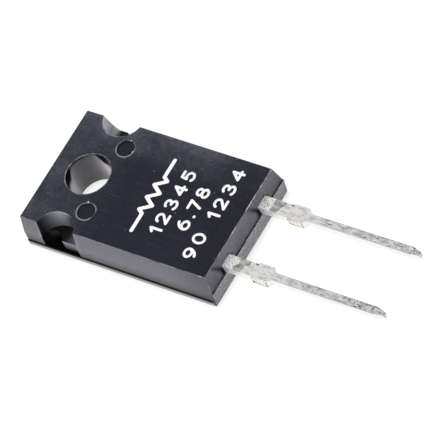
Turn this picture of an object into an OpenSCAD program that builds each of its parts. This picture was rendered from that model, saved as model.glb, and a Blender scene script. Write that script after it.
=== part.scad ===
// Power film resistor in a moulded flange-mount package.
// Origin: centre of the mounting hole on the heat-sink face.
// +X points towards the leads, +Y across the package, +Z out of the marked face.

/* [Moulded case] */
// Thickness from the heat-sink face to the marked face
case_thickness = 3.18; // [2.9:0.02:4]
// Length of the marked face
case_face_length = 15.8; // [14.5:0.05:18]
// Width of the marked face
case_face_width = 9.5; // [9:0.1:12]
// Distance from the hole's centre to the flange end of the marked face
hole_to_edge = 3; // [2.6:0.05:3.6]
// How far each side wall leans out between the marked face and the parting line
side_draft = 0.28; // [0.05:0.01:0.35]
// How far the lead end leans out down to the parting line, and the flange end down to the bottom
end_draft = 0.2; // [0.05:0.01:0.35]
// How far the lower half steps out past the upper half at the lead end
end_ledge = 0.1; // [0.05:0.01:0.3]
// How far the lead end leans back in between the parting line and the bottom
end_lean = 0.26; // [0:0.01:0.3]

/* [Mounting hole and ejector marks] */
// Diameter of the mounting hole
hole_diameter = 3.4; // [3:0.05:3.7]
// Diameter of each round ejector mark
ejector_diameter = 1.42; // [1:0.02:1.8]
// Distance between the two ejector marks
ejector_spacing = 5.58; // [5.4:0.02:6.2]
// Distance of the ejector marks from the hole's centre towards the leads
ejector_offset = 1.55; // [1.2:0.05:2]
// Depth of the ejector marks
ejector_depth = 0.1; // [0.04:0.01:0.2]

/* [Side notches] */
// Radius of the round notch in each long side, at the marked face
notch_radius = 1.62; // [1.4:0.01:1.9]
// How far the notch reaches in from the long side of the marked face
notch_depth = 1.29; // [0.8:0.01:1.3]
// How much smaller the notch's radius is at the parting line
notch_taper = 0.12; // [0:0.01:0.25]
// How far the ledge in the notch is set back from the long side
ledge_setback = 0.22; // [0.1:0.01:0.3]
// Length of the slope at the flange end of that ledge
ledge_slope = 0.65; // [0.4:0.05:0.9]
// Diameter of the pocket that a pin of the mould leaves in the ledge
pocket_diameter = 1.7; // [1:0.05:1.85]
// Distance of that pocket from the middle of the notch
pocket_offset = 0.75; // [0.4:0.05:0.9]
// Thickness of the skin of moulding left on the plate in the notches
skin_thickness = 0.05; // [0.02:0.01:0.2]

/* [Mounting plate] */
// Thickness of the metal plate
plate_thickness = 0.5; // [0.4:0.02:0.6]
// How far the plate stands out past the case on the long sides and the flange end
plate_proud = 0.06; // [0.02:0.01:0.12]
// Thickness of the moulding in front of the plate at the lead end
plate_end_cover = 0.1; // [0.05:0.05:1]
// Radius of the plate's corners
plate_corner_radius = 0.15; // [0.1:0.05:0.6]
// Wall of the moulded sleeve that lines the hole through the plate
sleeve_wall = 0.4; // [0.25:0.05:0.6]

/* [Leads] */
// Distance between the centre lines of the two leads
lead_pitch = 5.08; // [4.6:0.02:5.6]
// Length of each lead outside the case
lead_length = 12.7; // [9:0.1:25]
// Width of the narrow pin
pin_width = 0.64; // [0.5:0.02:0.8]
// Thickness of the narrow pin
pin_thickness = 0.66; // [0.5:0.02:0.7]
// Width of the root that comes out of the case
root_width = 1.06; // [0.9:0.02:1.2]
// Thickness of the root
root_thickness = 0.72; // [0.71:0.01:0.9]
// Distance from the case to where the lead starts to thin down
coin_start = 0.6; // [0.2:0.05:0.7]
// Length over which the lead thins down
coin_length = 0.95; // [0.5:0.05:1.2]
// Width of the shoulder where the frame's cross bar was cut away
shoulder_width = 1.28; // [1.22:0.02:1.6]
// Distance from the case to the shoulder
shoulder_start = 2.26; // [2:0.02:3]
// Length of the shoulder, with the slope down to the pin
shoulder_length = 1.5; // [1:0.05:2]
// Length of the slope between the shoulder and the pin
shoulder_slope = 0.28; // [0.1:0.02:0.5]
// Bevel along the upper edges of the pin
pin_bevel = 0.07; // [0.02:0.01:0.12]
// Length of the tapered tip
tip_length = 0.7; // [0.4:0.05:1.2]
// Width of the tip's end
tip_width = 0.3; // [0.2:0.02:0.4]
// Thickness of the tip's end
tip_thickness = 0.36; // [0.2:0.02:0.4]
// Length of each lead inside the case
lead_embed = 2.3; // [2:0.05:2.6]
// Width of the foot that is soldered to the pad
foot_width = 1.6; // [1.3:0.05:1.8]
// Length of that foot
foot_length = 1.1; // [0.8:0.05:1.2]

/* [Ceramic and film] */
// Thickness of the solder layer under the ceramic
bond_thickness = 0.05; // [0.03:0.01:0.08]
// Thickness of the ceramic wafer
ceramic_thickness = 0.8; // [0.6:0.02:0.82]
// Distance kept from the ceramic wafer to the plate's edges
ceramic_margin = 0.7; // [0.5:0.05:0.9]
// Distance kept from the hole to the ceramic wafer
ceramic_hole_gap = 0.8; // [0.6:0.05:1]
// Thickness of the fired film and of its end pads
film_thickness = 0.03; // [0.02:0.01:0.05]
// Number of legs in the film track, an even number
film_legs = 8; // [4:2:8]
// Width of each leg of the film track
film_leg_width = 0.5; // [0.3:0.05:0.6]
// Distance kept from the film track to the edges of the ceramic
film_margin = 0.5; // [0.4:0.05:0.8]
// Length of each end pad
pad_length = 1.35; // [1.3:0.05:1.6]
// Width of each end pad
pad_width = 2.1; // [2:0.05:2.4]
// Thickness of the glass over the film
glaze_thickness = 0.05; // [0.03:0.01:0.06]
// How far the solder spreads past the foot on each side
solder_fillet = 0.1; // [0.05:0.01:0.12]

/* [Hidden] */

// Facets of round surfaces
$fn = 96;
// Reach of a cut past the surface that it opens
past = 1;

hole_radius = hole_diameter / 2;
parting_z = case_thickness / 2;
face_half_width = case_face_width / 2;
parting_half_width = face_half_width + side_draft;
flange_face_x = -hole_to_edge;
flange_parting_x = flange_face_x - end_draft * (case_thickness - parting_z) / case_thickness;
flange_bottom_x = flange_face_x - end_draft;
lead_face_x = case_face_length - hole_to_edge;
lead_parting_x = lead_face_x + end_draft;
ledge_x = lead_parting_x + end_ledge;
lead_bottom_x = ledge_x - end_lean;

notch_centre_y = face_half_width - notch_depth + notch_radius;
notch_floor_radius = notch_radius - notch_taper;
skin_z = plate_thickness + skin_thickness;

plate_start_x = flange_bottom_x - plate_proud;
plate_end_x = lead_bottom_x - plate_end_cover;
plate_half_width = parting_half_width + plate_proud;
plate_hole_radius = hole_radius + sleeve_wall;

ceramic_start_x = plate_hole_radius + ceramic_hole_gap - sleeve_wall;
ceramic_end_x = plate_end_x - ceramic_margin;
ceramic_half_width = plate_half_width - ceramic_margin;
ceramic_z = plate_thickness + bond_thickness;
film_z = ceramic_z + ceramic_thickness;
solder_z = film_z + film_thickness;

lead_y = lead_pitch / 2;
lead_inner_x = ledge_x - lead_embed;
pin_start_x = ledge_x + shoulder_start + shoulder_length;
lead_end_x = ledge_x + lead_length;

// The pad reaches past the foot and its solder by this much towards the film
pad_overlap = 0.15;
pad_start_x = lead_inner_x - solder_fillet - pad_overlap;
film_start_x = ceramic_start_x + film_margin;
film_half_width = ceramic_half_width - film_margin;
// Gap between the film's far turns and the end pads
film_turn_gap = 0.4;
film_pitch = (2 * film_half_width - film_leg_width) / (film_legs - 1);

// A box given by its low and high corners
module block(low, high) {
    translate(low) cube(high - low);
}

// A solid with flat leaning walls: lower and upper are [start x, end x, half width]
module drafted_block(lower, upper, low_z, high_z) {
    reach = 4 * case_face_length;
    intersection() {
        rotate([90, 0, 0]) linear_extrude(height = reach, center = true)
            polygon([[lower[0], low_z], [lower[1], low_z], [upper[1], high_z], [upper[0], high_z]]);
        rotate([90, 0, 90]) linear_extrude(height = reach, center = true)
            polygon([[-lower[2], low_z], [lower[2], low_z], [upper[2], high_z], [-upper[2], high_z]]);
    }
}

// Outline of the plate in plan, with round corners
module plate_outline() {
    r = plate_corner_radius;
    x0 = plate_start_x;
    x1 = plate_end_x;
    w = plate_half_width;
    union() {
        translate([x0 + r, -w]) square([x1 - x0 - 2 * r, 2 * w]);
        translate([x0, r - w]) square([x1 - x0, 2 * (w - r)]);
        for (x = [x0 + r, x1 - r], side = [-1, 1])
            translate([x, side * (w - r)]) circle(r = r);
    }
}

// Upper half of the moulding, from the parting line to the marked face
module upper_half() {
    difference() {
        drafted_block([flange_parting_x, lead_parting_x, parting_half_width],
            [flange_face_x, lead_face_x, face_half_width], parting_z, case_thickness);
        for (side = [-1, 1]) {
            translate([0, side * notch_centre_y, parting_z])
                cylinder(r1 = notch_floor_radius, r2 = notch_radius, h = case_thickness - parting_z);
            translate([ejector_offset, side * ejector_spacing / 2, case_thickness - ejector_depth])
                cylinder(d = ejector_diameter, h = ejector_depth + past);
        }
    }
}

// Plan of the step that sets the ledge in a notch back from the side, sloped at its flange end
module ledge_outline() {
    half_length = notch_floor_radius;
    polygon([[-half_length, past], [half_length, past], [half_length, -ledge_setback],
        [ledge_slope - half_length, -ledge_setback], [-half_length, 0]]);
}

// Room for the plate, open to the outside so that no moulding is left beyond the plate's round corners
module plate_bed() {
    difference() {
        block([plate_start_x - past, -plate_half_width - past, -past],
            [plate_end_x - plate_corner_radius, plate_half_width + past, plate_thickness]);
        translate([0, 0, -past]) cylinder(r = plate_hole_radius, h = plate_thickness + 2 * past);
    }
}

// Lower half of the moulding, from the heat-sink face to the parting line
module lower_half() {
    difference() {
        drafted_block([flange_bottom_x, lead_bottom_x, parting_half_width],
            [flange_parting_x, ledge_x, parting_half_width], 0, parting_z);
        plate_bed();
        for (side = [-1, 1]) {
            translate([0, side * parting_half_width, skin_z])
                mirror([0, (1 - side) / 2, 0]) linear_extrude(height = parting_z) ledge_outline();
            translate([side * pocket_offset, side * parting_half_width, skin_z])
                cylinder(d = pocket_diameter, h = parting_z);
        }
    }
}

// Everything that the moulding closes round
module moulded_in() {
    mounting_plate();
    block([ceramic_start_x, -ceramic_half_width, plate_thickness],
        [ceramic_end_x, ceramic_half_width, film_z]);
    glaze_block();
    for (side = [-1, 1]) {
        pad(side);
        solder_block(side);
        lead(side);
    }
}

module moulded_case() {
    color("#2a2b31")
    difference() {
        union() {
            upper_half();
            lower_half();
        }
        moulded_in();
        translate([0, 0, -past]) cylinder(r = hole_radius, h = case_thickness + 2 * past);
    }
}

module mounting_plate() {
    color("#c9c8c4")
    difference() {
        linear_extrude(height = plate_thickness) plate_outline();
        translate([0, 0, -past]) cylinder(r = plate_hole_radius, h = plate_thickness + 2 * past);
    }
}

module bond_layer() {
    color("#a9abad")
    block([ceramic_start_x, -ceramic_half_width, plate_thickness],
        [ceramic_end_x, ceramic_half_width, ceramic_z]);
}

module ceramic_substrate() {
    color("#ece8dc")
    block([ceramic_start_x, -ceramic_half_width, ceramic_z],
        [ceramic_end_x, ceramic_half_width, film_z]);
}

// The track runs up and down the wafer, joined by a turn at alternate ends
module resistive_film() {
    turn_x = pad_start_x - film_turn_gap;
    first_y = film_leg_width / 2 - film_half_width;
    color("#3b3a3d")
    translate([0, 0, film_z]) linear_extrude(height = film_thickness) union() {
        for (leg = [0 : film_legs - 1]) {
            outer = leg == 0 || leg == film_legs - 1;
            leg_end = outer ? pad_start_x : turn_x;
            translate([film_start_x, first_y + leg * film_pitch - film_leg_width / 2])
                square([leg_end - film_start_x, film_leg_width]);
        }
        for (leg = [0 : film_legs - 2]) {
            turn_start = leg % 2 == 0 ? film_start_x : turn_x - film_leg_width;
            translate([turn_start, first_y + leg * film_pitch - film_leg_width / 2])
                square([film_leg_width, film_pitch + film_leg_width]);
        }
    }
}

// End pad of the film: it reaches from the lead's centre line out to the outer leg
module pad(side) {
    inner_y = lead_y - pad_width / 2;
    block([pad_start_x, min(side * inner_y, side * film_half_width), film_z],
        [pad_start_x + pad_length, max(side * inner_y, side * film_half_width), solder_z]);
}

module termination(side) {
    color("#bfc0bf") pad(side);
}

module glaze_block() {
    edge = film_margin / 2;
    block([film_start_x - edge, -film_half_width - edge, film_z],
        [pad_start_x, film_half_width + edge, film_z + film_thickness + glaze_thickness]);
}

module overglaze() {
    color("#4d6a52")
    difference() {
        glaze_block();
        resistive_film();
    }
}

// Solder under the foot and a little way up round it
module solder_block(side) {
    half_width = foot_width / 2 + solder_fillet;
    block([lead_inner_x - solder_fillet, side * lead_y - half_width, solder_z],
        [lead_inner_x + foot_length - solder_fillet, side * lead_y + half_width,
            parting_z + root_thickness / 3]);
}

module solder_joint(side) {
    color("#b5b7b8")
    difference() {
        solder_block(side);
        lead(side);
    }
}

// Half of a lead's outline in plan: foot, root, shoulder, pin and tapered tip
function lead_side() = [
    [lead_inner_x, foot_width / 2],
    [lead_inner_x + foot_length, foot_width / 2],
    [lead_inner_x + foot_length, root_width / 2],
    [ledge_x + shoulder_start, root_width / 2],
    [ledge_x + shoulder_start, shoulder_width / 2],
    [pin_start_x - shoulder_slope, shoulder_width / 2],
    [pin_start_x, pin_width / 2],
    [lead_end_x - tip_length, pin_width / 2],
    [lead_end_x, tip_width / 2]];

// A closed outline from one half and its mirror image
function both_sides(side) = concat(side, [for (i = [len(side) - 1 : -1 : 0]) [side[i][0], -side[i][1]]]);

// Side view of a lead: flat below, thinned down past the root, with its tip bevelled on both faces
module lead_profile() {
    top = parting_z + pin_thickness;
    tip_low = parting_z + (pin_thickness - tip_thickness) / 3;
    polygon([[lead_inner_x, parting_z], [lead_end_x - tip_length, parting_z], [lead_end_x, tip_low],
        [lead_end_x, tip_low + tip_thickness], [lead_end_x - tip_length, top],
        [ledge_x + coin_start + coin_length, top], [ledge_x + coin_start, parting_z + root_thickness],
        [lead_inner_x, parting_z + root_thickness]]);
}

// Cross-section of the pin, with its upper edges bevelled
module pin_section() {
    w = pin_width / 2;
    top = parting_z + pin_thickness;
    polygon([[-w, parting_z], [w, parting_z], [w, top - pin_bevel], [w - pin_bevel, top],
        [pin_bevel - w, top], [-w, top - pin_bevel]]);
}

module lead(side) {
    reach = 2 * foot_width;
    translate([0, side * lead_y, 0])
    intersection() {
        linear_extrude(height = case_thickness) polygon(both_sides(lead_side()));
        rotate([90, 0, 0]) linear_extrude(height = reach, center = true) lead_profile();
        union() {
            block([lead_inner_x - past, -reach, 0], [pin_start_x, reach, case_thickness]);
            translate([pin_start_x, 0, 0]) rotate([90, 0, 90])
                linear_extrude(height = lead_length) pin_section();
        }
    }
}

module tinned_lead(side) {
    color("#d6d6d2") lead(side);
}

moulded_case();
mounting_plate();
bond_layer();
ceramic_substrate();
resistive_film();
termination(-1);  // termination_left
termination(1);  // termination_right
overglaze();
solder_joint(-1);  // solder_joint_left
solder_joint(1);  // solder_joint_right
tinned_lead(-1);  // lead_left
tinned_lead(1);  // lead_right
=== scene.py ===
"""A moulded power film resistor: a flanged case, a heat-sink plate and two flat tinned leads."""
import math
from functools import partial

import bmesh
import bpy
from mathutils import Matrix, Vector


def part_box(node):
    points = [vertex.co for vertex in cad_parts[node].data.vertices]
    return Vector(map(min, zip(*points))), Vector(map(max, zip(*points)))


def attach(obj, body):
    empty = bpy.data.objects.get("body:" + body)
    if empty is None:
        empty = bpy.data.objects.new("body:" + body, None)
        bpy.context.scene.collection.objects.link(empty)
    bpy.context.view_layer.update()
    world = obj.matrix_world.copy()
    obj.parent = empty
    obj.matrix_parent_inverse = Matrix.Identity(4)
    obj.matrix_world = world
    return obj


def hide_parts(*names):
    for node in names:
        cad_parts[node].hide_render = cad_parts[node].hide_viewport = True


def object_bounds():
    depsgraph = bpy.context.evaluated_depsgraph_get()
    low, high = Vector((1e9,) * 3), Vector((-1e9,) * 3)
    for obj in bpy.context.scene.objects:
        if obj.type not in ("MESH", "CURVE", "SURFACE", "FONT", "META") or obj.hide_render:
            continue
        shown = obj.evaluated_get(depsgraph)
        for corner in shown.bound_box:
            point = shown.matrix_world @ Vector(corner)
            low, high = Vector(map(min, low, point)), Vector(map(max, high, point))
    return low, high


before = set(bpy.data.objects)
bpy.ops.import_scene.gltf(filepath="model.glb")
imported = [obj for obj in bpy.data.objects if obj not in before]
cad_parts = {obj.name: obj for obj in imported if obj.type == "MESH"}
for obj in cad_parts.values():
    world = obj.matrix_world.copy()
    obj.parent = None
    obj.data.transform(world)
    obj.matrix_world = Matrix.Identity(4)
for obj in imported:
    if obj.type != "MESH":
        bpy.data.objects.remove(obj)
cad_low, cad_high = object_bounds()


# Mounting plate: a copper pad stamped from strip, barrel plated with dull nickel and left proud under
# the moulding, so that its rolled-over shear edge shows as a pale line all round the foot of the case.
def linear(hex_colour):
    """An sRGB hex colour as the linear colour that a shader takes."""
    parts = [int(hex_colour[i:i + 2], 16) / 255 for i in (0, 2, 4)]
    return [c / 12.92 if c <= 0.04045 else ((c + 0.055) / 1.055) ** 2.4 for c in parts] + [1.0]


def node(tree, kind, inputs=None, stops=(), **settings):
    """Adds one node. kind is Blender's name for it, less its ShaderNode. inputs maps a socket's name or number
    to a value, a hex colour, an output that feeds it, or a node that feeds it by the first output it has in
    use. stops are the places and hex colours along a ramp. What isn't given stays as Blender sets it."""
    made = tree.nodes.new(kind if kind.startswith(("GeometryNode", "NodeGroup")) else "ShaderNode" + kind)
    for key, value in settings.items():
        setattr(made, key, value)
    for key, value in (inputs or {}).items():
        if isinstance(value, bpy.types.Node):
            value = next(output for output in value.outputs if output.enabled)
        if isinstance(value, bpy.types.NodeSocket):
            tree.links.new(value, made.inputs[key])
        else:
            made.inputs[key].default_value = linear(value) if isinstance(value, str) else value
    for position, _ in stops[2:]:
        made.color_ramp.elements.new(position)
    for i, (position, hex_colour) in enumerate(stops):
        made.color_ramp.elements[i].position = position
        made.color_ramp.elements[i].color = linear(hex_colour)
    return made


def blank_material(name):
    """A new material with an empty node tree, and node() set to add to that tree."""
    made = bpy.data.materials.new(name)
    made.use_nodes = True
    made.node_tree.nodes.clear()
    return made, partial(node, made.node_tree)


def in_scene(name, data):
    """A new object of the scene, made from that data."""
    made = bpy.data.objects.new(name, data)
    bpy.context.scene.collection.objects.link(made)
    return made


def softened_copy(name, source, edge_mm, edge_finish=0, full_above=-1.0):
    """A CAD node's shape as its own piece, its sharp edges broken by a small radius, as tools leave them.
    Below the height full_above the break is too thin to see, and only keeps each face evenly lit."""
    sharp, creased, flat = math.radians(25), math.radians(70), math.radians(0.5)
    shortest_upright, hairline_share = 0.001, 0.001
    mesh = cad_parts[source].data.copy()
    mesh.name = name
    bm = bmesh.new()
    bm.from_mesh(mesh)
    bmesh.ops.remove_doubles(bm, verts=bm.verts, dist=1e-7)
    bmesh.ops.dissolve_limit(bm, angle_limit=flat, verts=bm.verts, edges=bm.edges)
    broken = bm.edges.layers.float.new("bevel_weight_edge")
    for edge in bm.edges:
        low_end, high_end = sorted(end.co.z for end in edge.verts)
        if edge.calc_face_angle(0) > sharp:
            upright = high_end > full_above and edge.calc_length() > shortest_upright
            edge[broken] = 1.0 if low_end > full_above or upright else hairline_share
    bm.to_mesh(mesh)
    bm.free()
    rough = in_scene(name + ".rough", mesh)
    mesh.materials.clear()
    for _ in range(edge_finish + 1):
        mesh.materials.append(None)
    bevel = rough.modifiers.new("edge", "BEVEL")
    bevel.width = edge_mm / 1000
    bevel.segments = 2
    bevel.limit_method = "WEIGHT"
    bevel.use_clamp_overlap = True
    bevel.loop_slide = False
    bevel.material = edge_finish
    evened = rough.modifiers.new("even", "WEIGHTED_NORMAL")
    evened.keep_sharp = True
    mesh.shade_smooth()
    mesh.set_sharp_from_angle(angle=creased)
    baked = bpy.data.meshes.new_from_object(rough.evaluated_get(bpy.context.evaluated_depsgraph_get()))
    bpy.data.objects.remove(rough)
    baked.name = name
    finishes = [face.material_index for face in baked.polygons]
    baked.materials.clear()
    baked.polygons.foreach_set("material_index", finishes)
    return in_scene(name, baked)


plate_nickel, add = blank_material("dull_nickel_plate_on_stamped_copper")
# Dull nickel is a warm pale grey metal: metallic 1, roughness 0.32 to 0.55. The strip's rolling lines run
# along the part about 0.03 mm apart, drawn 0.12 mm apart so that they show. The sheared edge is greyer,
# burnished below and torn in the middle; its top and the plate's top face carry a painted shadow.
place = add("TexCoord").outputs["Object"]
z = add("SeparateXYZ", {"Vector": place}).outputs["Z"]
flat_of_face = add("NewGeometry")
facing = add("SeparateXYZ", {"Vector": flat_of_face.outputs["True Normal"]})
rolled = add("Mapping", {"Vector": place, "Scale": (300, 8000, 8000)})
lines = add("TexNoise", {"Vector": rolled, "Scale": 1.0, "Detail": 3.0})
stain = add("TexNoise", {"Vector": place, "Scale": 700.0, "Detail": 4.0})
tone = add("ValToRGB", {"Fac": stain}, stops=[(0.35, "a9a7a3"), (0.7, "cdccc9")])
level_part = add("Math", {0: facing.outputs["Z"]}, operation="ABSOLUTE")
upright = add("MapRange", {"Value": level_part, "From Min": 0.3, "From Max": 0.8, "To Min": 1.0, "To Max": 0.0})
# Painted shadow: above 0.44 mm the plate takes the dark top of the edge's ramp, as if shaded by the case.
under_case_shade = add("Math", {0: z, 1: 0.00044}, operation="GREATER_THAN")
on_edge = add("Math", {0: upright, 1: under_case_shade}, operation="MAXIMUM")
up_edge = add("MapRange", {"Value": z, "From Max": 0.0005})
edge_tone_and_shade = add("ValToRGB", {"Fac": up_edge}, stops=[(0.1, "b2b1b0"), (0.35, "9d9c9b"), (0.55, "a5a4a3"),
    (0.72, "7d7c7b"), (0.9, "262626")])
colour = add("Mix", {0: on_edge, 6: tone, 7: edge_tone_and_shade}, data_type="RGBA")
gloss = add("MapRange", {"Value": lines, "To Min": 0.32, "To Max": 0.55})
ripple = add("Bump", {"Height": lines, "Strength": 0.25, "Distance": 0.00002})
skin = add("BsdfPrincipled", {"Base Color": colour, "Metallic": 1.0, "Roughness": gloss, "Normal": ripple})
add("OutputMaterial", {"Surface": skin})

plate = softened_copy("mounting_plate_pressing", "mounting_plate", edge_mm=0.05)
plate.data.materials.append(plate_nickel)
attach(plate, "root")
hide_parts("mounting_plate")

# Everything that the moulding seals in: the alumina wafer on its soldered bond, the fired resistance film
# with its two silver pads under a cover glaze, and the solder joints that hold the leads' feet.
inner_finishes = [
    # finish, its nodes, dark and light tones, metallic, roughness, grains in a metre (500 are 2 mm each)
    ("soft_solder_bond", ["bond_layer"], "9c9a96", "b4b2ad", 1.0, 0.42, 500.0),
    ("fired_alumina_wafer", ["ceramic_substrate"], "e6e2d8", "f2efe8", 0.0, 0.62, 2500.0),
    ("fired_ruthenium_film", ["resistive_film"], "1c1a1b", "2c2929", 0.0, 0.5, 4000.0),
    ("fired_silver_pad", ["termination_left", "termination_right"], "b9b7b0", "d4d2cc", 1.0, 0.48, 3000.0),
    ("green_cover_glass", ["overglaze"], "1f4a3a", "2c5f4a", 0.0, 0.18, 900.0),
    ("soft_solder_joint", ["solder_joint_left", "solder_joint_right"], "a3a19c", "bcbab5", 1.0, 0.3, 900.0),
]
for finish, parts, dark, light, metal, rough, scale in inner_finishes:
    inner, add = blank_material(finish)
    place = add("TexCoord").outputs["Object"]
    grain = add("TexNoise", {"Vector": place, "Scale": scale, "Detail": 4.0, "Roughness": 0.6})
    tone = add("ValToRGB", {"Fac": grain}, stops=[(0.3, dark), (0.7, light)])
    gloss = add("MapRange", {"Value": grain, "To Min": rough - 0.08, "To Max": rough + 0.08})
    ripple = add("Bump", {"Height": grain, "Strength": 0.2, "Distance": 0.00001})
    skin = add("BsdfPrincipled", {"Base Color": tone, "Metallic": metal, "Roughness": gloss, "Normal": ripple})
    add("OutputMaterial", {"Surface": skin})
    for name in parts:
        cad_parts[name].data.materials.clear()
        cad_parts[name].data.materials.append(inner)

# Leads: two flat stampings of one copper frame, hot dipped in tin once the case is on. Near the case the dip
# froze rough, then comes the coined step, the sheared stubs of the dam bar with their bare copper, and the
# pins.
tin, add = blank_material("hot_tinned_copper")
# Tin is a bright, slightly warm white metal: metallic 1, roughness 0.3 to 0.5. The frozen dip stands in curds
# 0.2 mm across. The pins carry soft clouds 0.3 by 0.7 mm, drag lines 0.05 mm apart that run along them, and
# dark scuffs of 0.1 by 0.2 mm, thicker towards the tips.
case_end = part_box("moulded_case")[1].x
lead_low, lead_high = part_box("lead_right")
lead_line = (lead_low.y + lead_high.y) / 2
found = add("TexCoord")
place = found.outputs["Object"]
x, y, z = add("SeparateXYZ", {"Vector": place}).outputs
facing = add("SeparateXYZ", {"Vector": found.outputs["Normal"]})
from_case = add("Math", {0: x, 1: case_end}, operation="SUBTRACT")
side_of = add("Math", {0: y}, operation="ABSOLUTE")
across_lead = add("Math", {0: side_of, 1: lead_line}, operation="SUBTRACT")
which_lead = add("Math", {0: y}, operation="SIGN")
off_lead = add("Math", {0: which_lead, 1: -lead_line, 2: y}, operation="MULTIPLY_ADD")
wander = add("TexNoise", {"Vector": place, "Scale": 2500.0, "Detail": 3.0})
along = add("Math", {0: wander, 1: 0.0006, 2: from_case}, operation="MULTIPLY_ADD")
frozen = add("MapRange", {"Value": along, "From Min": 0.00106, "From Max": 0.00114, "To Min": 1.0,
    "To Max": 0.0})
grazed = add("MapRange", {"Value": from_case, "From Min": 0.0036, "From Max": 0.0041, "To Min": 1.0,
    "To Max": 0.0})
clouds_at = add("Mapping", {"Vector": place, "Scale": (1500, 3600, 3600)})
clouds = add("TexNoise", {"Vector": clouds_at, "Scale": 1.0, "Detail": 5.0, "Roughness": 0.62})
pin_tone = add("ValToRGB", {"Fac": clouds}, stops=[(0.34, "bababa"), (0.6, "f0f0f0")])
shoulder_tone = add("ValToRGB", {"Fac": clouds}, stops=[(0.3, "cfcfcc"), (0.52, "f4f4f3")])
plain = add("Mix", {0: grazed, 6: pin_tone, 7: shoulder_tone}, data_type="RGBA")
drag_at = add("Mapping", {"Vector": place, "Scale": (900, 20000, 20000)})
drag = add("TexNoise", {"Vector": drag_at, "Scale": 1.0, "Detail": 3.0})
dragged = add("MapRange", {"Value": drag, "From Min": 0.56, "From Max": 0.66, "To Max": 0.5})
scuff_at = add("Mapping", {"Vector": place, "Scale": (5200, 11000, 11000)})
scuff = add("TexNoise", {"Vector": scuff_at, "Scale": 1.0, "Detail": 3.0, "Roughness": 0.7})
crowding = add("MapRange", {"Value": from_case, "From Min": 0.003, "From Max": 0.0115, "To Max": 0.09})
scuffed = add("Math", {0: scuff, 1: crowding}, operation="ADD")
scuffed = add("MapRange", {"Value": scuffed, "From Min": 0.645, "From Max": 0.668})
marked = add("Math", {0: dragged, 1: scuffed}, operation="MAXIMUM")
pin_colour = add("Mix", {0: marked, 6: plain, 7: "484743"}, data_type="RGBA")
# The coining punch left an olive grey patch, and the dip froze in bright curds with dark gaps.
slanted = add("Math", {0: off_lead, 1: -0.38, 2: along}, operation="MULTIPLY_ADD")
patch = add("MapRange", {"Value": slanted, "From Min": 0.00167, "From Max": 0.00175, "To Min": 1.0,
    "To Max": 0.0})
coin_tone = add("ValToRGB", {"Fac": clouds}, stops=[(0.38, "8e8e87"), (0.58, "cfcfc8")])
curds = add("TexVoronoi", {"Vector": place, "Scale": 4900.0}, feature="DISTANCE_TO_EDGE")
root_tone = add("ValToRGB", {"Fac": curds}, stops=[(0.0, "262623"), (0.065, "fdfdfb")])
coined = add("Mix", {0: patch, 6: pin_colour, 7: coin_tone}, data_type="RGBA")
lip = add("Math", {0: slanted, 1: 0.00172, 2: 0.00005}, operation="COMPARE")
lip = add("Math", {0: lip, 1: 0.6}, operation="MULTIPLY")
coined = add("Mix", {0: lip, 6: coined, 7: "55554f"}, data_type="RGBA")
tinned = add("Mix", {0: frozen, 6: coined, 7: root_tone}, data_type="RGBA")
# A dark nick marks the far top edge of each, just before the shoulder, and the pins' bevelled top edges are
# darker grey.
nick_at = add("CombineXYZ", {"X": from_case, "Y": off_lead})
nick_far = add("VectorMath", {0: nick_at, 1: (0.00218, 0.0005, 0)}, operation="DISTANCE")
nick = add("MapRange", {"Value": nick_far, "From Min": 0.0001, "From Max": 0.00015, "To Min": 0.95,
    "To Max": 0.0})
aslant = add("Math", {0: facing.outputs["Y"]}, operation="ABSOLUTE")
aslant = add("Math", {0: aslant, 1: facing.outputs["Z"]}, operation="MULTIPLY")
on_bevel = add("MapRange", {"Value": aslant, "From Min": 0.15, "From Max": 0.35, "To Max": 0.6})
past_shoulder = add("MapRange", {"Value": from_case, "From Min": 0.0034, "From Max": 0.0035, "To Min": 0.5})
on_bevel = add("Math", {0: on_bevel, 1: past_shoulder}, operation="MULTIPLY")
nick = add("Math", {0: nick, 1: on_bevel}, operation="MAXIMUM")
# The flanks are clean and bright, and frosted next to the case. The dam bar's stubs were sheared after dipping,
# so their ends are a pale beige, outlined by a thin brown line of bare copper.
flank = add("Math", {0: facing.outputs["Y"]}, operation="ABSOLUTE")
on_flank = add("MapRange", {"Value": flank, "From Min": 0.5, "From Max": 0.8})
past_dip = add("MapRange", {"Value": along, "From Min": 0.00055, "From Max": 0.00095, "To Min": 0.35})
clean_flank = add("Math", {0: on_flank, 1: past_dip}, operation="MULTIPLY")
cleaned = add("Mix", {0: clean_flank, 6: tinned, 7: "f4f4f2"}, data_type="RGBA")
cleaned = add("Mix", {0: nick, 6: cleaned, 7: "706f6b"}, data_type="RGBA")
off_line = add("Math", {0: across_lead}, operation="ABSOLUTE")
sheared = add("MapRange", {"Value": off_line, "From Min": 0.0006, "From Max": 0.00063})
grooves_at = add("Mapping", {"Vector": place, "Scale": (14000, 1000, 1200)})
grooves = add("TexNoise", {"Vector": grooves_at, "Scale": 1.0})
sheared_tone = add("ValToRGB", {"Fac": grooves}, stops=[(0.38, "cfc8bd"), (0.56, "f6f3ee")])
lower_edge = add("MapRange", {"Value": z, "From Min": lead_low.z + 0.00007, "From Max": lead_low.z + 0.00014,
    "To Min": 1.0, "To Max": 0.0})
first_edge = add("MapRange", {"Value": from_case, "From Min": 0.00228, "From Max": 0.00232, "To Min": 1.0,
    "To Max": 0.0})
last_edge = add("MapRange", {"Value": from_case, "From Min": 0.00345, "From Max": 0.00348})
bare = add("Math", {0: lower_edge, 1: first_edge}, operation="MAXIMUM")
bare = add("Math", {0: bare, 1: last_edge}, operation="MAXIMUM")
stub_tone = add("Mix", {0: bare, 6: sheared_tone, 7: "94796d"}, data_type="RGBA")
burr_at = add("CombineXYZ", {"X": from_case, "Y": off_lead, "Z": z})
burr = add("VectorMath", {0: burr_at, 1: (0.0023, -0.00064, lead_low.z + 0.00015)}, operation="DISTANCE")
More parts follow.
